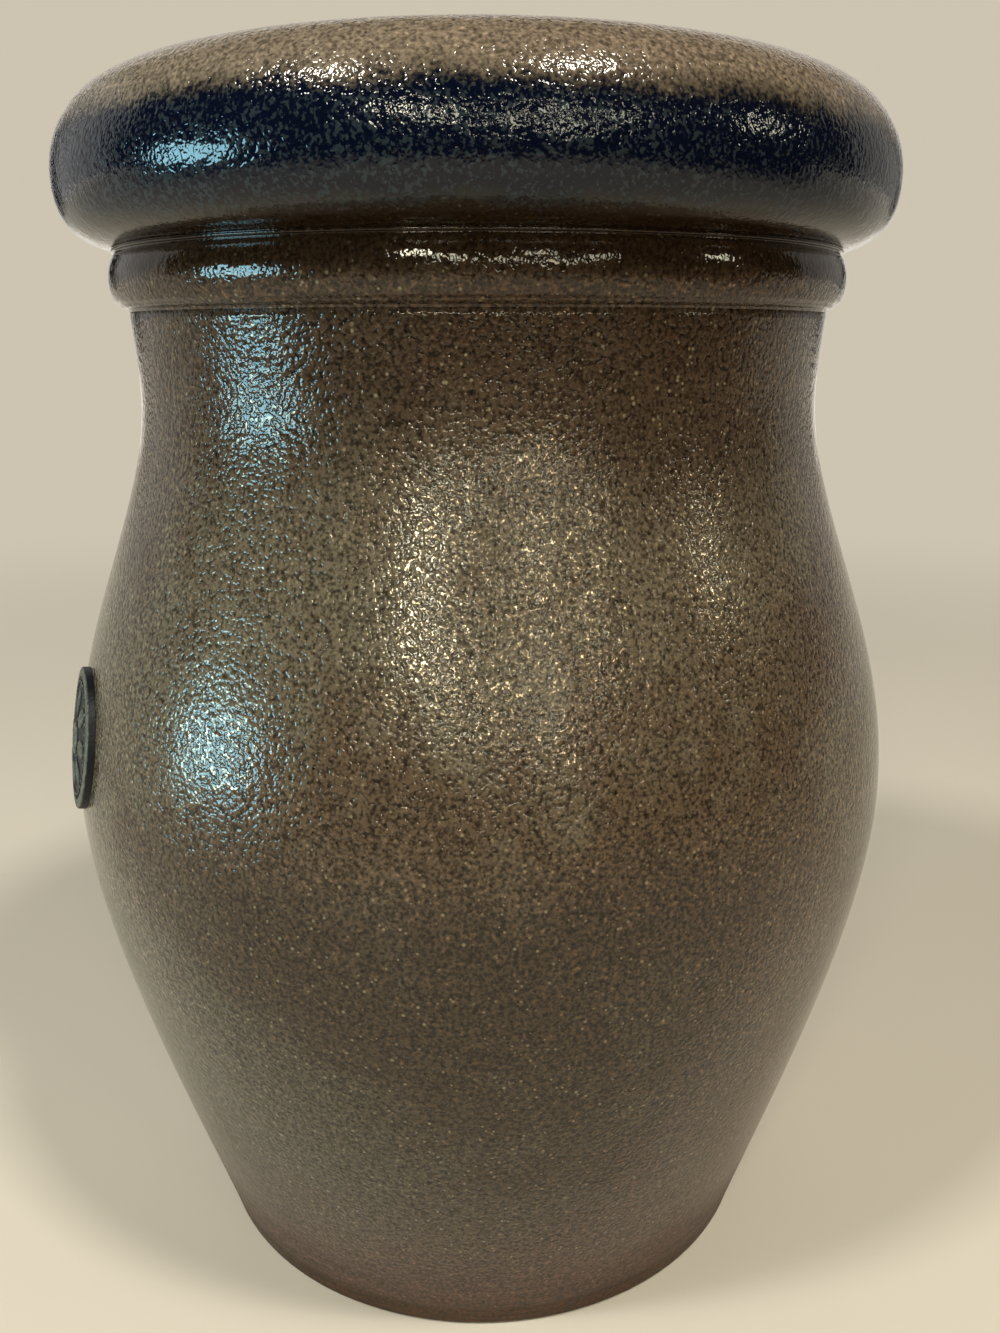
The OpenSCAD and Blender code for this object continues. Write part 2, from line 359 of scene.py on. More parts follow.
def iron_specks(wiring, place):
    """Where iron in the clay has bled through, in many fine specks and a few large pits."""
    away, (luck, _, _) = wiring.cells(place, 2.6 * mm)
    fine = 1 - wiring.ease(away, luck * 0.08, 0.02 + luck * 0.13)
    away, (_, luck, _) = wiring.cells(place, 19 * mm)
    large = 1 - wiring.ease(away, luck * 0.02, luck * 0.05)
    return fine, large


def salt_grains(wiring, place):
    """Pale grains of salt left on the glaze, less than 1 mm across."""
    away, (luck, _, _) = wiring.cells(place, 1.6 * mm)
    return 1 - wiring.ease(away, luck * 0.1, 0.05 + luck * 0.26)


def ragged(level, unevenness, amount):
    """A height that wanders up and down by half an amount, so that a border along it is not straight."""
    return level + (unevenness - 0.5) * amount


# The colours of the clay and the glaze
olive_grey = colour(98, 88, 72)
warm_brown = colour(86, 71, 56)
plum_brown_and_rim_shade = colour(58, 42, 31)
rose_brown = colour(88, 65, 53)
toasted_and_foot_shade = colour(66, 41, 18)
dark_brown_and_shade = colour(36, 24, 13)
lip_grey_and_shade = colour(46, 43, 37)
sandy = colour(128, 113, 96)
cobalt = colour(4, 10, 28)
cobalt_grey = colour(52, 62, 68)
iron = colour(24, 17, 12)
salt_pale = colour(168, 152, 124)
slip_brown = colour(84, 54, 34)
skin_depth = 0.085 * mm


def salted(wiring, place):
    """The salt glaze's own colour, its wide patches and mottle, and the relief and thinness of its skin, the
    thinness also low in the relief's hollows as painted shade.
    """
    patches = wiring.cloud(place, 70 * mm, 3.0, 0.55)
    mottle = wiring.cloud(place, 9 * mm, 3.0, 0.6)
    beads, skin_and_hollow_shade = peel(wiring, place)
    tone = wiring.blend(warm_brown, olive_grey, wiring.ease(patches + (mottle - 0.5) * 0.4, 0.38, 0.6))
    return tone, patches, mottle, beads, skin_and_hollow_shade


salt_glaze, w, shader = new_finish("salt_glaze")
place = w.place()
x, y, z = w.axes(place)
around = w.sum("ARCTAN2", x, 0 - y)
outward = w.sum("SQRT", x * x + y * y)
tone, patches, mottle, beads, skin_and_hollow_shade = salted(w, place)
fine_specks, large_specks = iron_specks(w, place)

# The fire's browns: plum on the neck, rose low down, dark on the collar, grey under the rim, sandy on top
# of it, and toasted at the foot. The plum neck, the dark collar, the grey under the rim and the toasted
# foot are also darkened as painted shade, under the rim's overhang and where the foot meets the table
# Painted shade: the plum on the neck is darkened as the shade under the rim's overhang
tone = w.blend(tone, plum_brown_and_rim_shade, w.ease(ragged(z, patches, 60 * mm), 172 * mm, 205 * mm) * 0.8)
tone = w.blend(tone, rose_brown, 1 - w.ease(ragged(z, patches, 70 * mm), 12 * mm, 62 * mm))
# Painted shade: the collar's dark brown is partly the shade under the rim
collar_brown_and_shade = w.ease(ragged(z, mottle, 4 * mm), collar_z - 3 * mm, collar_z + 1.5 * mm)
tone = w.blend(tone, dark_brown_and_shade, collar_brown_and_shade * 0.9)
# Painted shade: the grey under the rim is darkened as the shade on the rim's underside
tone = w.blend(tone, lip_grey_and_shade, w.ease(ragged(z, mottle, 2 * mm), ridge_z + 2.2 * mm, ridge_z + 3.2 * mm))
tone = w.blend(tone, sandy, w.ease(ragged(z, mottle, 6 * mm), rim_z + 4 * mm, rim_z + 11 * mm))
# Painted shade: the toasted foot is darkened as the shade where the crock meets the table
tone = w.blend(tone, toasted_and_foot_shade, 1 - w.ease(ragged(z, mottle, 6 * mm), 3 * mm, 11 * mm))

# The skin's grain lightens and darkens the glaze, less on the collar, and darkens the relief's hollows as
# painted shade
grain = 2.7 + w.ease(z, 15 * mm, 95 * mm) * 0.6 - collar_brown_and_shade * 0.9
tone = w.shade(tone, w.sum("POWER", 2.0, (skin_and_hollow_shade - 0.5) * grain - 0.2))

# Painted shade darkens the low body on one side, the side that faces the eye
shaded_side = math.radians(62)
painted_low_shade = w.ease(w.sum("COSINE", around - shaded_side), 0.55, 0.98) * w.ease(z, -8 * mm, 52 * mm)
painted_low_shade = painted_low_shade * (1 - w.ease(ragged(z, patches, 30 * mm), 104 * mm, 128 * mm))
tone = w.shade(tone, 1 - painted_low_shade * 0.44)

# Salt lies on the glaze, but not where the foot was trimmed
trimmed = 1 - w.ease(ragged(z, mottle, 8 * mm), 8 * mm, 26 * mm)
tone = w.blend(tone, salt_pale, salt_grains(w, place) * (0.5 - collar_brown_and_shade * 0.4 - trimmed * 0.5))

# The cobalt band, brushed on by hand, higher on one side, with soft borders and greyer where it is thin
cobalt_low = rim_z - 9.5 * mm
cobalt_high = rim_z + 3.5 * mm
border = 1.6 * mm
high_side = math.radians(20)
brushed_z = ragged(ragged(z, skin_and_hollow_shade, 2.6 * mm), mottle, 5 * mm)
brushed_to = cobalt_high + w.ease(w.sum("COSINE", around - high_side), -0.6, 0.9) * 3 * mm
band = w.ease(brushed_z, cobalt_low - border, cobalt_low + border)
band = band * (1 - w.ease(brushed_z, brushed_to - border, brushed_to + border))
thin_cobalt = w.ease(skin_and_hollow_shade + (mottle - 0.5) * 0.5 + (patches - 0.5) * 0.8, 0.55, 0.9)
blue = w.blend(cobalt, cobalt_grey, thin_cobalt * 0.75)
on_rim = w.ease(outward, gallery_r + 6 * mm, gallery_r + 9 * mm)
tone = w.blend(tone, blue, band * on_rim * 0.96)
tone = w.blend(tone, iron, fine_specks * 0.9)
tone = w.blend(tone, iron, large_specks * 0.95)

# The inside is lined with brown slip, from the gallery down
lined = w.reading("ShaderNodeAttribute", 2, {"attribute_name": "liner"})
slip = w.shade(w.blend(slip_brown, dark_brown_and_shade, mottle), 0.75 + w.cloud(place, 3 * mm) * 0.5)
tone = w.blend(tone, slip, lined)

# The trimming tool has left level scrapes round the foot
level_stretch = 0.06
across = w.reading("ShaderNodeCombineXYZ", 0, None, {0: x * level_stretch, 1: y * level_stretch, 2: z})
scrapes = w.cloud(across, 1.1 * mm, 2.0, 0.6)
tone = w.shade(tone, 1 + (scrapes - 0.5) * trimmed * 1.5)

# The glaze is dullest at the foot and a little dull on the rim's top
rough = 0.08 + (mottle - 0.5) * 0.06 + trimmed * 0.2
rough = rough + (1 - w.ease(z, 8 * mm, 70 * mm)) * 0.2
rough = rough + w.ease(z, rim_z + 9 * mm, rim_z + 14 * mm) * 0.1

# The skin is calmer on the collar, on the trimmed foot and inside, and glitters where it is thin
dimpled_rim = w.ease(z, collar_top, rim_z) * 0.35 + w.ease(z, rim_z, rim_z + 5 * mm) * 0.3
calm_collar = collar_brown_and_shade * (0.7 - dimpled_rim)
calm = w.most(calm_collar, w.most(trimmed * 0.6, lined * 0.85))
height = beads * (1 - calm) + w.cloud(place, 5 * mm, 1.0) * 0.8
height = height + scrapes * trimmed * 1.2 - large_specks * 0.6
glitter = w.ease(skin_and_hollow_shade, 0.55, 0.95) * 0.45 * (1 - lined) * (1 - collar_brown_and_shade * 0.5)
finish_surface(w, shader, tone, rough, height, skin_depth, glitter)


def on_the_wheel():
    """Geometry nodes that turn a half section, given as points in the XZ plane, into a round piece.

    Wobble is the share by which the hand's unevenness narrows the piece, differently all round and up.
    """
    tree = bpy.data.node_groups.new("turned_on_the_wheel", "GeometryNodeTree")
    face = tree.interface
    face.new_socket("Section", in_out="INPUT", socket_type="NodeSocketGeometry")
    sides = face.new_socket("Sides", in_out="INPUT", socket_type="NodeSocketInt")
    rows = face.new_socket("Rows", in_out="INPUT", socket_type="NodeSocketInt")
    wobble = face.new_socket("Wobble", in_out="INPUT", socket_type="NodeSocketFloat")
    coat = face.new_socket("Finish", in_out="INPUT", socket_type="NodeSocketMaterial")
    face.new_socket("Piece", in_out="OUTPUT", socket_type="NodeSocketGeometry")
    g = Wiring(tree)
    given = g.node("NodeGroupInput")
    section, side_count, row_count, unevenness, material = [Reading(g, s) for s in given.outputs[:5]]
    sheet = g.reading("GeometryNodeMeshGrid", 0, None, {
        "Size X": 1.0, "Size Y": 1.0, "Vertices X": side_count + 1, "Vertices Y": row_count})
    u, v, _ = g.axes(g.reading("GeometryNodeInputPosition"))
    step = (v + 0.5) * (row_count - 1)
    row = g.reading("FunctionNodeFloatToInt", 0, {"rounding_mode": "ROUND"}, {0: step})
    at = g.reading("GeometryNodeInputPosition")
    held = g.reading("GeometryNodeSampleIndex", 0, {"data_type": "FLOAT_VECTOR", "domain": "POINT"},
                     {"Geometry": section, "Value": at, "Index": row})
    radius, _, level = g.axes(held)
    angle = (u + 0.5) * (2 * math.pi)
    across = g.sum("COSINE", angle)
    along = g.sum("SINE", angle)
    # The unevenness closes on itself all round, and changes within about 80 mm of height
    sway_rate = 14
    ring = g.reading("ShaderNodeCombineXYZ", 0, None, {0: across, 1: along, 2: level * sway_rate})
    sway = g.reading("ShaderNodeTexNoise", 0, None, {"Vector": ring, "Scale": 0.9, "Detail": 1.0})
    swollen = radius * (1 - sway * unevenness)
    rounded = g.reading("ShaderNodeCombineXYZ", 0, None, {
        0: across * swollen, 1: along * swollen, 2: level})
    shaped = g.reading("GeometryNodeSetPosition", 0, None, {"Geometry": sheet, "Position": rounded})
    liner = g.reading("GeometryNodeInputNamedAttribute", 0, {"data_type": "FLOAT"}, {"Name": "liner"})
    lining = g.reading("GeometryNodeSampleIndex", 0, {"data_type": "FLOAT", "domain": "POINT"},
                       {"Geometry": section, "Value": liner, "Index": row})
    marked = g.reading("GeometryNodeStoreNamedAttribute", 0, {"data_type": "FLOAT", "domain": "POINT"},
                       {"Geometry": shaped, "Name": "liner", "Value": lining})
    closed = g.reading("GeometryNodeMergeByDistance", 0, None, {"Geometry": marked, "Distance": 1e-6})
    smooth = g.reading("GeometryNodeSetShadeSmooth", 0, None, {"Geometry": closed})
    whole = g.reading("GeometryNodeRealizeInstances", 0, None, {"Geometry": smooth})
    coated = g.reading("GeometryNodeSetMaterial", 0, None, {"Geometry": whole, "Material": material})
    g.node("NodeGroupOutput", None, {0: coated})
    return tree, {"sides": sides, "rows": rows, "wobble": wobble, "coat": coat}


wheel, wheel_inputs = on_the_wheel()


def plain_mesh(name, holder):
    """Turns what the modifiers of holder make into a plain piece at the origin, and drops the holder."""
    bpy.context.view_layer.update()
    shape = bpy.data.meshes.new_from_object(holder.evaluated_get(bpy.context.evaluated_depsgraph_get()))
    shape.name = name
    bpy.data.objects.remove(holder)
    piece = bpy.data.objects.new(name, shape)
    scene.collection.objects.link(piece)
    return piece


def outward_faces(piece):
    """Points every face out of a closed piece, and drops edges without a length."""
    bm = bmesh.new()
    bm.from_mesh(piece.data)
    bmesh.ops.dissolve_degenerate(bm, dist=1e-7, edges=bm.edges)
    bmesh.ops.recalc_face_normals(bm, faces=bm.faces)
    bm.to_mesh(piece.data)
    bm.free()
    return piece


def turn(name, profile, coat, sides, wobble=0.0, lined_from=None):
    """A round piece turned from a half section of (radius, height) points, lined from one of them on."""
    section = bpy.data.meshes.new(name + "_section")
    section.from_pydata([(r, 0, h) for r, h in profile], [], [])
    liner = section.attributes.new("liner", "FLOAT", "POINT")
    start = len(profile) if lined_from is None else lined_from
    liner.data.foreach_set("value", [float(place >= start) for place in range(len(profile))])
    holder = bpy.data.objects.new(name, section)
    scene.collection.objects.link(holder)
    wheel_use = holder.modifiers.new("wheel", "NODES")
    wheel_use.node_group = wheel
    wheel_use[wheel_inputs["sides"].identifier] = sides
    wheel_use[wheel_inputs["rows"].identifier] = len(profile)
    wheel_use[wheel_inputs["wobble"].identifier] = wobble
    wheel_use[wheel_inputs["coat"].identifier] = coat
    return outward_faces(plain_mesh(name, holder))


crock = turn("stoneware_body", crock_profile, salt_glaze, 272, 0.004, liner_from)
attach(crock, "crock")
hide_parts("crock_body")


# ---- The medallion ----
# A round plaque of the same clay, pressed in a mould with a rosette, and stuck on the belly's front with
# slip before firing, so that it bends with the wall. Cobalt was brushed over it and wiped off the relief:
# it stays in the hollows and round the edge.
_, medallion_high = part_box("medallion")
medallion_r = medallion_high.x
medallion_z = 125 * mm
medallion_t = 1.5 * mm
medallion_sunk = 0.3 * mm
relief_h = 0.5 * mm
field_h = medallion_t - relief_h
border_w = 2.2 * mm
border_in = medallion_r - border_w
edge_r = medallion_r - 0.05 * mm
boss_r = 3.6 * mm
boss_round = 0.8 * mm
boss_dip = 0.3 * mm
petal_count = 8
petal_from = 4.3 * mm
petal_to = border_in - 1.9 * mm
petal_half_w = 2.3 * mm
bead_count = 36
bead_r = 0.45 * mm
bead_from = border_in - 1.45 * mm
slate_grey = colour(92, 98, 86)

relief_glaze, w, shader = new_finish("cobalt_relief")
place = w.place()
tone, _, mottle, beads, skin_and_hollow_shade = salted(w, place)
fine_specks, _ = iron_specks(w, place)
raised = w.reading("ShaderNodeAttribute", 2, {"attribute_name": "relief"})
wiped = w.ease(ragged(ragged(raised, mottle, 0.12), skin_and_hollow_shade, 0.06), 0.74, 0.92)
# The skin's grain lightens and darkens the plaque, and darkens the relief's hollows as painted shade
tone = w.shade(w.blend(tone, slate_grey, 0.65), 0.35 + skin_and_hollow_shade * 1.1)
tone = w.blend(w.shade(w.blend(cobalt, cobalt_grey, skin_and_hollow_shade * 0.12), 0.6), tone, wiped)
tone = w.blend(tone, iron, fine_specks * 0.6)
finish_surface(w, shader, tone, 0.5 + (mottle - 0.5) * 0.2, beads + mottle * 0.8, 0.05 * mm)


def copies_round(name):
    """Geometry nodes that repeat a small shape round the Z axis."""
    tree = bpy.data.node_groups.new(name, "GeometryNodeTree")
    face = tree.interface
    face.new_socket("Shape", in_out="INPUT", socket_type="NodeSocketGeometry")
    count = face.new_socket("Count", in_out="INPUT", socket_type="NodeSocketInt")
    coat = face.new_socket("Finish", in_out="INPUT", socket_type="NodeSocketMaterial")
    face.new_socket("Copies", in_out="OUTPUT", socket_type="NodeSocketGeometry")
    g = Wiring(tree)
    given = g.node("NodeGroupInput")
    shape, how_many, material = [Reading(g, socket) for socket in given.outputs[:3]]
    spots = g.reading("GeometryNodePoints", 0, None, {"Count": how_many})
    turned = g.reading("GeometryNodeInputIndex") * (2 * math.pi) / how_many
    angles = g.reading("ShaderNodeCombineXYZ", 0, None, {2: turned})
    way = g.reading("FunctionNodeEulerToRotation", 0, None, {0: angles})
    ring = g.reading("GeometryNodeInstanceOnPoints", 0, None, {
        "Points": spots, "Instance": shape, "Rotation": way})
    whole = g.reading("GeometryNodeRealizeInstances", 0, None, {"Geometry": ring})
    smooth = g.reading("GeometryNodeSetShadeSmooth", 0, None, {"Geometry": whole})
    coated = g.reading("GeometryNodeSetMaterial", 0, None, {"Geometry": smooth, "Material": material})
    g.node("NodeGroupOutput", None, {0: coated})
    return tree, {"count": count, "coat": coat}


carousel, carousel_inputs = copies_round("copies_round_the_middle")


def repeat_round(name, shape, count, coat):
    """The shape, a mesh, repeated count times round the Z axis."""
    holder = bpy.data.objects.new(name, shape)
    scene.collection.objects.link(holder)
    carousel_use = holder.modifiers.new("carousel", "NODES")
    carousel_use.node_group = carousel
    carousel_use[carousel_inputs["count"].identifier] = count
    carousel_use[carousel_inputs["coat"].identifier] = coat
    return plain_mesh(name, holder)


def egg(name, start, length, half_w, half_h, crease, near_end):
    """A low egg that lies on the plaque's field along X from start, with a crease along its top. Near_end
    is its width there, as a share of its width at the far end."""
    crease_w = 0.22
    bm = bmesh.new()
    bmesh.ops.create_uvsphere(bm, u_segments=20, v_segments=12, radius=1)
    for vert in bm.verts:
        x, y, z = vert.co
        along = (x + 1) / 2
        narrow = near_end + (1 - near_end) * math.sin(along * math.pi / 2)
        dip = 1 - crease * math.exp(-(y / crease_w) ** 2)
        vert.co = (start + along * length, y * half_w * narrow, field_h + z * half_h * dip)
    shape = bpy.data.meshes.new(name)
    bm.to_mesh(shape)
    bm.free()
    return shape


def join(name, pieces, coat):
    """One piece made of several that share a finish."""
    bm = bmesh.new()
    for piece in pieces:
        bm.from_mesh(piece.data)
    whole = bpy.data.meshes.new(name)
    bm.to_mesh(whole)
    bm.free()
    whole.materials.append(coat)
    for face in whole.polygons:
        face.material_index = 0
    for piece in pieces:
        bpy.data.objects.remove(piece)
    made = bpy.data.objects.new(name, whole)
    scene.collection.objects.link(made)
    return made


plaque_profile = chain(
    line((0, -medallion_sunk), (edge_r, -medallion_sunk), 6),
    line((edge_r, -medallion_sunk), (medallion_r - 0.1 * mm, field_h), 4),
    oval((medallion_r - 0.6 * mm, field_h), 0.5 * mm, 0.4 * mm, 0, 90, 6),
    oval((border_in + 0.4 * mm, field_h), 0.4 * mm, 0.4 * mm, 90, 180, 6),
    line((border_in, field_h), (boss_r + 0.4 * mm, field_h), 12),
    oval((boss_r - boss_round, field_h), boss_round, relief_h, 0, 90, 6),
    bend((boss_r - boss_round, medallion_t), (boss_r / 2, medallion_t),
         (boss_r / 4, medallion_t - boss_dip), (0, medallion_t - boss_dip), 8),
)
plaque = turn("plaque", plaque_profile, relief_glaze, 96, 0.006)
petal = egg("petal", petal_from, petal_to - petal_from, petal_half_w, 0.48 * mm, 0.45, 0.35)
petals = repeat_round("petals", petal, petal_count, relief_glaze)
bead = egg("bead", bead_from, 2 * bead_r, bead_r, 0.4 * mm, 0, 0.9)
border_beads = repeat_round("border_beads", bead, bead_count, relief_glaze)
medallion = join("medallion_relief", [plaque, petals, border_beads], relief_glaze)

# The flat plaque is laid on the wall at its own lean, and each point is moved out until it stands off the
# wall by its own height
flat = np.array([vert.co for vert in medallion.data.vertices])
relief = medallion.data.attributes.new("relief", "FLOAT", "POINT")
relief.data.foreach_set("value", flat[:, 2] / medallion_t)
lean = math.atan(
    (wall_radius(medallion_z - medallion_r / 2) - wall_radius(medallion_z + medallion_r / 2)) / medallion_r)
middle = np.array([0, -wall_radius(medallion_z), medallion_z])
up_wall = np.array([0, math.sin(lean), math.cos(lean)])
out_of_wall = np.array([0, -math.cos(lean), math.sin(lean)])
base = middle + np.outer(flat[:, 0], (1, 0, 0)) + np.outer(flat[:, 1], up_wall)
out = flat[:, 2].copy()
for _ in range(8):
    bent = base + np.outer(out, out_of_wall)
    stand_off = (np.hypot(bent[:, 0], bent[:, 1]) - wall_radius(bent[:, 2])) * math.cos(lean)
    out += flat[:, 2] - stand_off
for vert, spot in zip(medallion.data.vertices, base + np.outer(out, out_of_wall)):
    vert.co = spot
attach(medallion, "crock")
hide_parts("medallion")


# ---- The weights ----
# Two half-moon stones of bare fired clay, rolled out, cut and sponged round their edges. They lie flat on
# the food inside and hold it under the brine, and a finger lifts them by the hole between them.
weight_low, weight_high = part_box("weight_rear")
weight_r = weight_high.x
split_half = weight_low.y
finger_r = 12 * mm
weight_round = 2 * mm
buff = colour(176, 150, 118)
burnt_buff = colour(142, 108, 76)

bare_clay, w, shader = new_finish("bare_stoneware")
place = w.place()
mottle = w.cloud(place, 14 * mm, 4.0, 0.6)
grit = w.cloud(place, 0.5 * mm, 1.0)
fine_specks, large_specks = iron_specks(w, place)
tone = w.blend(buff, burnt_buff, w.ease(mottle, 0.42, 0.72))
tone = w.shade(tone, 0.8 + grit * 0.4)
tone = w.blend(tone, iron, fine_specks * 0.5)
tone = w.blend(tone, iron, large_specks * 0.8)
sponged = w.cloud(place, 2.5 * mm, 2.0)
finish_surface(w, shader, tone, 0.85, grit * 0.5 + sponged - large_specks * 0.5, 0.12 * mm)


def half_moon(name, side):
    """One of the two stones, on the side of the split that side says, 1 or -1."""
    outer_from = math.asin(split_half / weight_r)
    inner_from = math.asin(split_half / finger_r)
    outer = [(weight_r * math.cos(t), weight_r * math.sin(t))
             for t in np.linspace(outer_from, math.pi - outer_from, 73)]
    inner = [(finger_r * math.cos(t), finger_r * math.sin(t))
             for t in np.linspace(math.pi - inner_from, inner_from, 37)]
    bm = bmesh.new()
    ring = [bm.verts.new((x, side * y, weight_low.z)) for x, y in outer + inner]
    slab = bmesh.ops.extrude_face_region(bm, geom=[bm.faces.new(ring)])
    lifted = [item for item in slab["geom"] if isinstance(item, bmesh.types.BMVert)]
    bmesh.ops.translate(bm, verts=lifted, vec=(0, 0, weight_high.z - weight_low.z))
    shape = bpy.data.meshes.new(name)
    bm.to_mesh(shape)
    bm.free()
    shape.materials.append(bare_clay)
    holder = bpy.data.objects.new(name, shape)
    scene.collection.objects.link(holder)
    rounded = holder.modifiers.new("sponged_edges", "BEVEL")
    rounded.width = weight_round
    rounded.segments = 5
    rounded.use_clamp_overlap = False
    rounded.limit_method = "ANGLE"
    rounded.angle_limit = math.radians(40)
    stone = outward_faces(plain_mesh(name, holder))
    largest = max(face.area for face in stone.data.polygons)
    for face in stone.data.polygons:
        face.use_smooth = face.area < largest / 4
    return stone


for body, side in (("weight_front", -1), ("weight_rear", 1)):
    stone = half_moon(body + "_stone", side)
    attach(stone, body)
    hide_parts(body)


# ---- The lid ----
# An inset lid, thrown upside down and trimmed, which sits on the gallery with a ring that drops into the
# throat. It is salted like the crock, with sandy and toasted edges where the glaze ran thin.
lid_low, lid_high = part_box("lid")
lid_r = lid_high.x
lid_top = lid_high.z
lid_ring_z = lid_low.z
lid_z = lid_ring_z + 6 * mm
lid_edge_z = lid_z + 6 * mm
lid_round = 1.8 * mm
lid_dish = 1.5 * mm
lid_gap = 1.2 * mm
lid_ring_r = throat_r - lid_gap
lid_ring_in = lid_ring_r - 5 * mm
ring_round = lid_round / 2
ring_tip_z = lid_ring_z + ring_round
knob_seat_r = 12 * mm
throwing_pitch = 4 * mm

lid_glaze, w, shader = new_finish("lid_glaze")
place = w.place()
x, y, z = w.axes(place)
outward = w.sum("SQRT", x * x + y * y)
tone, _, mottle, beads, skin_and_hollow_shade = salted(w, place)
fine_specks, large_specks = iron_specks(w, place)
at_edge = w.ease(ragged(outward, mottle, 4 * mm), lid_r - 6 * mm, lid_r - 1.5 * mm)
at_knob_edge = w.ease(ragged(z, mottle, 2 * mm), lid_top + 9 * mm, lid_top + 12 * mm)
tone = w.blend(tone, sandy, w.most(at_edge, at_knob_edge) * 0.8)
tone = w.blend(tone, toasted_and_foot_shade, 1 - w.ease(ragged(z, mottle, 1.5 * mm), lid_z + 0.5 * mm, lid_z + 2.5 * mm))
# The skin's grain lightens and darkens the lid, and darkens the relief's hollows as painted shade
tone = w.shade(tone, w.sum("POWER", 2.0, (skin_and_hollow_shade - 0.5) * 3.4 - 0.15))
tone = w.blend(tone, salt_pale, salt_grains(w, place) * 0.5)
tone = w.blend(tone, iron, fine_specks * 0.7)
tone = w.blend(tone, iron, large_specks * 0.9)
height = beads + w.cloud(place, 5 * mm, 1.0) * 0.8 - large_specks * 0.6
rough = 0.12 + (mottle - 0.5) * 0.08 + at_edge * 0.12
finish_surface(w, shader, tone, rough, height, skin_depth, w.ease(skin_and_hollow_shade, 0.55, 0.95) * 0.4)

lid_under = chain(
    line((0, lid_z + lid_dish), (lid_ring_in - lid_dish, lid_z + lid_dish), 10),
    line((lid_ring_in - lid_dish, lid_z + lid_dish), (lid_ring_in, ring_tip_z), 3),
    oval((lid_ring_in + ring_round, ring_tip_z), ring_round, ring_round, 180, 270, 6),
    oval((lid_ring_r - ring_round, ring_tip_z), ring_round, ring_round, -90, 0, 6),
    line((lid_ring_r, lid_z - 1 * mm), (lid_ring_r, lid_z), 2),
    oval((lid_r - lid_round, lid_z + lid_round), lid_round, lid_round, -90, 0, 8),
)
lid_over = bend(
    (lid_r - lid_round, lid_edge_z), (lid_r - lid_round - 12 * mm, lid_edge_z),
    (knob_seat_r + 20 * mm, lid_top), (knob_seat_r, lid_top), 70)
# The throwing leaves fine rings on top, which die out at the edge and at the knob's seat
from_middle = lid_over[:, 0]
past_seat = np.clip((from_middle - knob_seat_r) / (6 * mm), 0, 1)
before_edge = np.clip((lid_r - from_middle) / (10 * mm), 0, 1)
waves = np.sin(np.pi * from_middle / throwing_pitch) ** 2
lid_over[:, 1] -= 0.25 * mm * past_seat * before_edge * waves
lid_profile = chain(
    lid_under,
    oval((lid_r - lid_round, lid_edge_z - lid_round), lid_round, lid_round, 0, 90, 8),
    lid_over,
    line((knob_seat_r, lid_top), (0, lid_top), 4),
)
lid = turn("lid_cover", lid_profile, lid_glaze, 224)
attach(lid, "lid")
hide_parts("lid")


# ---- The knob ----
# A small turned knob with a dished top, thrown apart, stuck on the lid with slip and fired with it.
knob_low, knob_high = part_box("lid_knob")
knob_z = knob_low.z
knob_h = knob_high.z - knob_low.z
knob_r = knob_high.x
knob_waist_r = 8 * mm
knob_foot_r = 10.5 * mm
knob_waist_z = knob_z + 0.35 * knob_h
knob_edge_z = knob_z + 0.75 * knob_h
knob_lip = 0.2 * knob_r
knob_top = knob_high.z
knob_dish_z = knob_top - 1.5 * mm

knob_profile = chain(
    line((0, knob_z), (knob_foot_r, knob_z), 6),
    bend((knob_foot_r, knob_z), (knob_waist_r, knob_z + 0.09 * knob_h),
         (knob_waist_r, knob_z + 0.18 * knob_h), (knob_waist_r, knob_waist_z), 10),
    bend((knob_waist_r, knob_waist_z), (knob_waist_r, knob_z + 0.55 * knob_h),
         (knob_r, knob_z + 0.5 * knob_h), (knob_r, knob_edge_z), 16),
    oval((knob_r - knob_lip, knob_edge_z), knob_lip, knob_top - knob_edge_z, 0, 90, 10),
    bend((knob_r - knob_lip, knob_top), (knob_r / 2, knob_top),
         (knob_r / 3, knob_dish_z), (0, knob_dish_z), 12),
)
knob = turn("turned_knob", knob_profile, lid_glaze, 128, 0.006)
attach(knob, "lid")
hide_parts("lid_knob")


# ---- The camera ----
# An eye close to the crock, at the height of its neck, that looks down a little past its axis. The front
# with the medallion is turned to the left, almost out of sight.
eye_side = math.radians(67.2)
eye_away = 268 * mm
eye_height = 207 * mm
eye_dip = math.radians(16.04)
eye_yaw = math.radians(0.98)
eye_lens = 31.058
level_view = math.pi / 2

eye = bpy.data.cameras.new("eye")
eye.sensor_width = 36
eye.lens = eye_lens
eye.clip_start = 10 * mm
eye_holder = bpy.data.objects.new("eye", eye)
eye_holder.location = (eye_away * math.sin(eye_side), -eye_away * math.cos(eye_side), eye_height)
eye_holder.rotation_euler = (level_view - eye_dip, 0, eye_side - eye_yaw)
scene.collection.objects.link(eye_holder)
scene.camera = eye_holder


# ---- The table and the light ----
# A plain pale table that runs out into a plain pale backdrop, a cool window low on the left, and soft warm
# room lamps above. On the eye's side the far table is dark to the glaze: a painted shade for an unlit room.
backdrop = colour(205, 196, 178)
table_tone = colour(234, 226, 211)
unlit_room_shade = colour(60, 52, 42)
table_r = 6

table_shape = bpy.data.meshes.new("table")
bm = bmesh.new()
bmesh.ops.create_circle(bm, cap_ends=True, segments=96, radius=table_r)
bm.to_mesh(table_shape)
bm.free()
table = bpy.data.objects.new("table", table_shape)
scene.collection.objects.link(table)
cloth, w, shader = new_finish("table_top")
place = w.place()
x, y, _ = w.axes(place)
far = w.ease(w.sum("SQRT", x * x + y * y), 0.4, 1.1)
behind = w.ease(y * math.cos(eye_side) - x * math.sin(eye_side), -0.15, 0.2)
seen = w.reading("ShaderNodeLightPath", "Is Camera Ray")
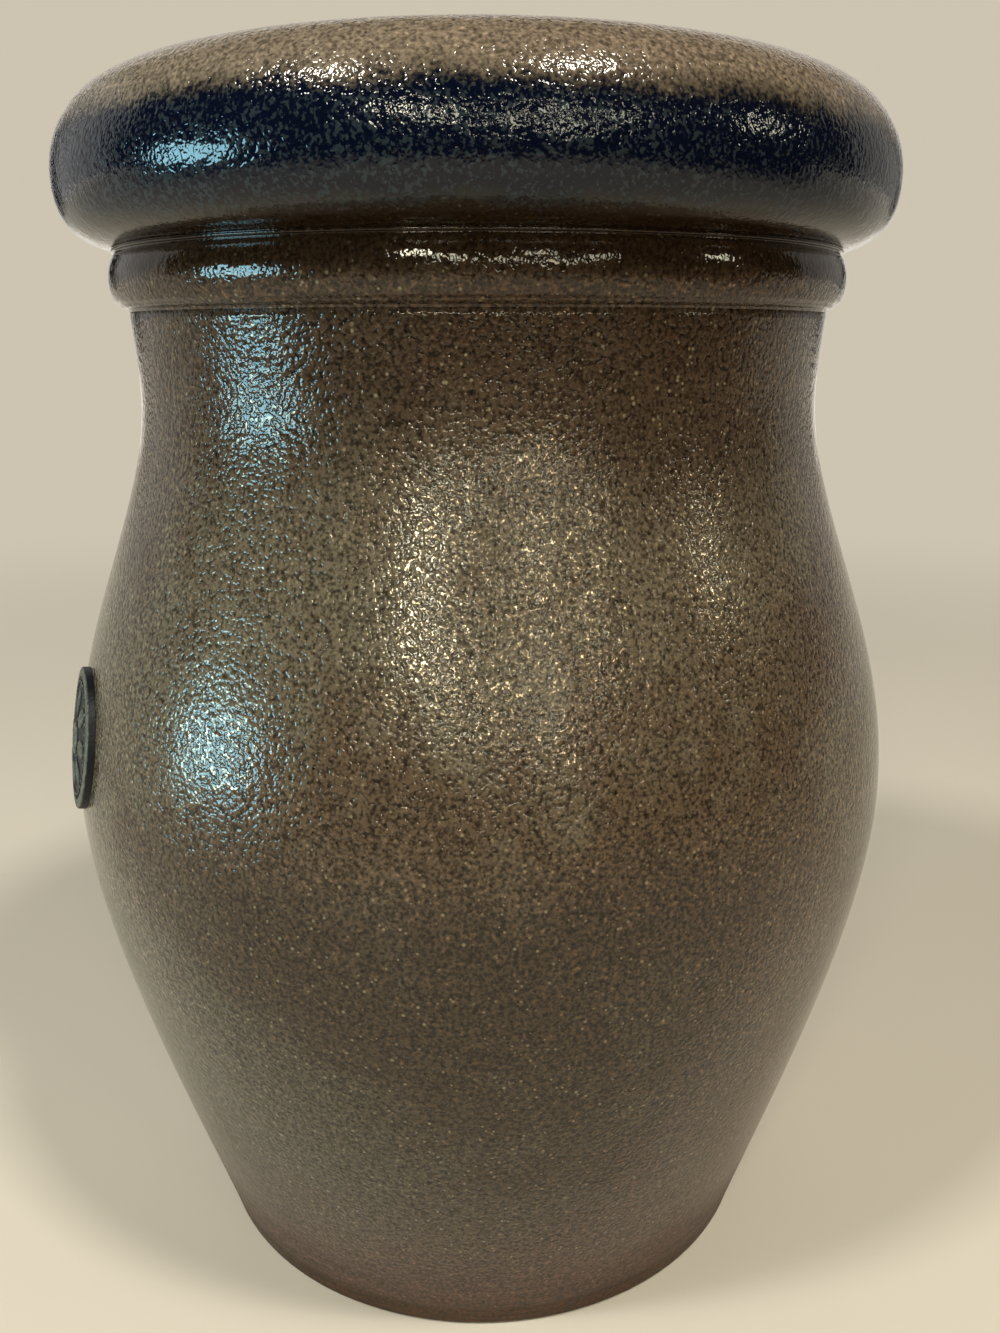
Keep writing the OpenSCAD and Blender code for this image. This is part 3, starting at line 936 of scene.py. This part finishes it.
# Painted shade: on the eye's side the far table takes a dark colour
w.tree.links.new(w.blend(table_tone, unlit_room_shade, far * (1 - behind)).socket, shader.inputs["Base Color"])
shader.inputs["Roughness"].default_value = 0.9
shader.inputs["Specular IOR Level"].default_value = 0.2
glow = w.node("ShaderNodeEmission", None, {"Color": (*backdrop, 1), "Strength": 1.0})
faded = w.node("ShaderNodeMixShader", None, {0: far * w.most(behind, seen)})
w.tree.links.new(shader.outputs[0], faded.inputs[1])
w.tree.links.new(glow.outputs[0], faded.inputs[2])
w.tree.links.new(faded.outputs[0], w.tree.nodes["Material Output"].inputs["Surface"])
table_shape.materials.append(cloth)

world = bpy.data.worlds.new("room")
scene.world = world
world.use_nodes = True
w = Wiring(world.node_tree)
dim_room = world.node_tree.nodes["Background"]
dim_room.inputs["Color"].default_value = (1.0, 0.96, 0.88, 1)
dim_room.inputs["Strength"].default_value = 0.02
plain_wall = w.node("ShaderNodeBackground", None, {"Color": (*backdrop, 1), "Strength": 1.0})
seen = w.reading("ShaderNodeLightPath", "Is Camera Ray")
surroundings = w.node("ShaderNodeMixShader", None, {0: seen})
w.tree.links.new(dim_room.outputs[0], surroundings.inputs[1])
w.tree.links.new(plain_wall.outputs[0], surroundings.inputs[2])
w.tree.links.new(surroundings.outputs[0], world.node_tree.nodes["World Output"].inputs["Surface"])

lamp_aim = 155 * mm
warm_white = (1.0, 0.95, 0.86)


def soft_lamp(name, turn_from_eye, up, away, width, tall, watts, tint, mirrored=True):
    """A soft lamp that faces the crock, placed by its angles in degrees from the eye's side and from level.
    The glaze mirrors it unless mirrored is False."""
    lamp = bpy.data.lights.new(name, "AREA")
    lamp.shape = "RECTANGLE"
    lamp.size = width
    lamp.size_y = tall
    lamp.energy = watts
    lamp.color = tint
    holder = bpy.data.objects.new(name, lamp)
    side = eye_side + math.radians(turn_from_eye)
    lift = math.radians(up)
    level_away = away * math.cos(lift)
    holder.location = (
        level_away * math.sin(side), -level_away * math.cos(side), lamp_aim + away * math.sin(lift))
    holder.rotation_euler = (level_view - lift, 0, side)
    holder.visible_camera = False
    holder.visible_glossy = mirrored
    scene.collection.objects.link(holder)


soft_lamp("window", -71.5, 0.0, 2.0, 0.76, 0.42, 18, (0.42, 0.84, 1.0))
soft_lamp("window_spill", -75, 15, 1.4, 0.9, 0.9, 1.2, (1.0, 0.97, 0.9), False)
soft_lamp("ceiling_left", -50, 53, 1.3, 0.17, 0.17, 6.4, (1.0, 0.95, 0.87))
soft_lamp("ceiling_right", 38, 61, 1.3, 0.17, 0.17, 7.5, (1.0, 0.94, 0.84))
soft_lamp("far_room", 180, 20, 1.6, 1.8, 1.4, 6.5, warm_white)
soft_lamp("far_left", -120, 17, 1.4, 0.9, 0.9, 1.3, (1.0, 0.97, 0.92))
soft_lamp("far_right", 125, 17, 1.4, 0.9, 0.9, 0.9, warm_white)
# Small lamps about the room, each by its two angles and its watts, which glint on the shoulder and the rim
small_lamps = [
    (-18, 24, 2.1), (-8, 18, 0.8), (17, 24, 0.6), (33, 19, 0.5), (7, 14, 0.6), (20, 12, 0.6), (72, 20, 0.7)]
for spot, (aside, up, watts) in enumerate(small_lamps):
    soft_lamp("small_lamp_" + str(spot + 1), aside, up, 1.2, 0.12, 0.12, watts, (1.0, 0.95, 0.72))

scene.view_settings.view_transform = "Standard"
